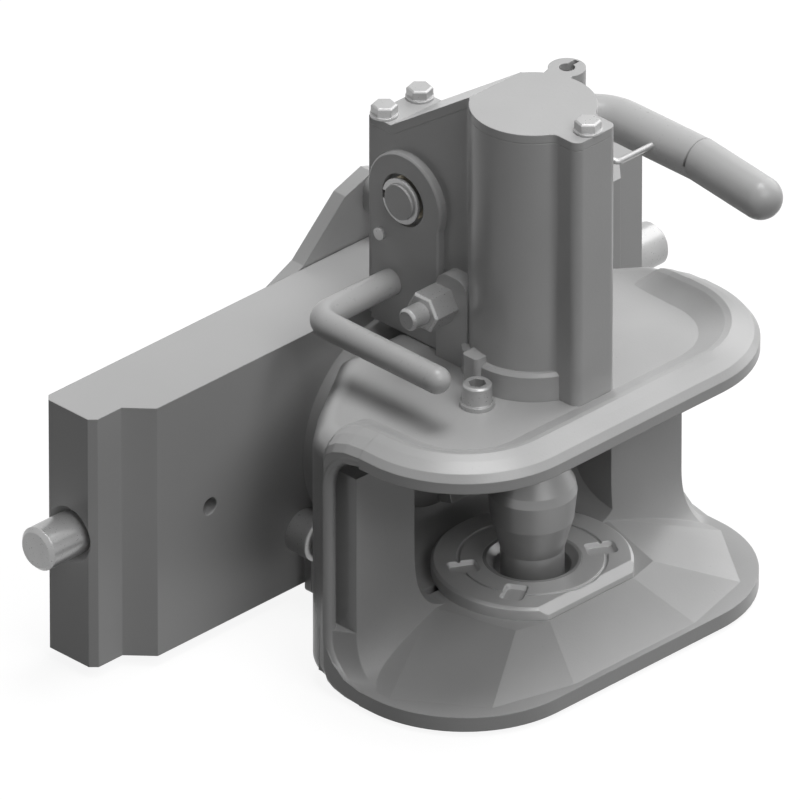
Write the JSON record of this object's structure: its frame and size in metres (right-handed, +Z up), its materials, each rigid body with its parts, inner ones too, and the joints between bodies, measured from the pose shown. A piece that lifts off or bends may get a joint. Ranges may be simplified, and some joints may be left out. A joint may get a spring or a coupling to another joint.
{
  "type": "tractor clevis coupling",
  "caption": "Pin-type towing coupling for a tractor: swivelling jaw with a lifting crowned pin, hand lever, trigger and a sliding mounting plate with locking pins.",
  "frame": {"origin": "point where the coupling pin's axis meets the swivel axis", "axes": "+X right seen from the trailer, +Y towards the tractor along the swivel axis, +Z up along the coupling pin"},
  "size_m": [0.369, 0.1996, 0.2553],
  "materials": {
    "painted_casting": "satin grey paint over a casting",
    "plate_steel": "satin grey paint on machined plate",
    "hardened_steel": "ground, dull",
    "zinc_steel": "zinc plated",
    "bronze": "turned, oiled",
    "spring_wire": "drawn wire",
    "bar_steel": "satin grey paint on round bar",
    "grip": "satin grey coating"
  },
  "bodies": {
    "slider": {"slider_plate": "plate_steel", "swivel_bush": "bronze", "keeper_plate": "plate_steel", "stop_bolts": "zinc_steel", "release_circlip": "zinc_steel", "left_locking_spring": "spring_wire", "right_locking_spring": "spring_wire"},
    "left_lock": {"left_locking_pin": "zinc_steel", "left_drive_stud": "zinc_steel"},
    "right_lock": {"right_locking_pin": "zinc_steel", "right_drive_stud": "zinc_steel"},
    "lock_release": {"release_plate": "plate_steel", "release_grip": "grip"},
    "head": {"jaw": "painted_casting", "wear_disc": "hardened_steel", "lower_bush": "hardened_steel", "guide_bush": "bronze", "housing": "painted_casting", "cover": "painted_casting", "cover_bolts": "zinc_steel", "side_plate": "plate_steel", "side_screw": "zinc_steel", "stop_stud": "zinc_steel", "stop_nut": "zinc_steel", "socket_screw": "zinc_steel", "swivel_shaft": "hardened_steel", "swivel_washer": "zinc_steel", "swivel_nut": "zinc_steel", "left_lever_bush": "bronze", "right_lever_bush": "bronze", "trigger_pin": "zinc_steel"},
    "pin": {"coupling_pin": "hardened_steel", "cross_pin": "hardened_steel"},
    "lever": {"hand_lever": "bar_steel", "lever_grip": "grip", "lever_circlip": "zinc_steel", "lift_arm": "hardened_steel", "torsion_spring": "spring_wire"},
    "catch": {"release_handle": "bar_steel", "pawl": "hardened_steel"},
    "trigger_flap": {"trigger": "hardened_steel"}
  },
  "joints": [
    {"name": "head_swivel", "type": "hinge", "parent": "slider", "child": "head", "pos_m": [0, 0, 0], "axis": [0, 1, 0], "range_deg": [-90, 90]},
    {"name": "lever_swing", "type": "hinge", "parent": "head", "child": "lever", "pos_m": [0, 0.058, 0.123], "axis": [-1, 0, 0], "range_deg": [0, 71.8], "deforming": ["torsion_spring"]},
    {"name": "pin_lift", "type": "slide", "parent": "head", "child": "pin", "axis": [0, 0, 1], "range_m": [0, 0.0841]},
    {"name": "catch_swing", "type": "hinge", "parent": "head", "child": "catch", "pos_m": [0, 0.065, 0.081], "axis": [-1, 0, 0], "range_deg": [0, 30]},
    {"name": "trigger_swing", "type": "hinge", "parent": "head", "child": "trigger_flap", "pos_m": [0, 0.052, 0.047], "axis": [1, 0, 0], "range_deg": [0, 12], "stiffness_Nm_per_rad": 2, "springref_deg": -11.46},
    {"name": "release_swing", "type": "hinge", "parent": "slider", "child": "lock_release", "pos_m": [0, 0.1287, 0], "axis": [0, -1, 0], "range_deg": [0, 22]},
    {"name": "left_lock_slide", "type": "slide", "parent": "slider", "child": "left_lock", "axis": [1, 0, 0], "range_m": [0, 0.0201], "deforming": ["left_locking_spring"]},
    {"name": "right_lock_slide", "type": "slide", "parent": "slider", "child": "right_lock", "axis": [-1, 0, 0], "range_m": [0, 0.0201], "deforming": ["right_locking_spring"]}
  ],
  "couplings": [
    {"joint": "pin_lift", "follows": "lever_swing", "m_per_rad": 0.067013},
    {"joint": "left_lock_slide", "follows": "release_swing", "m_per_rad": 0.052087},
    {"joint": "right_lock_slide", "follows": "release_swing", "m_per_rad": 0.052087}
  ]
}
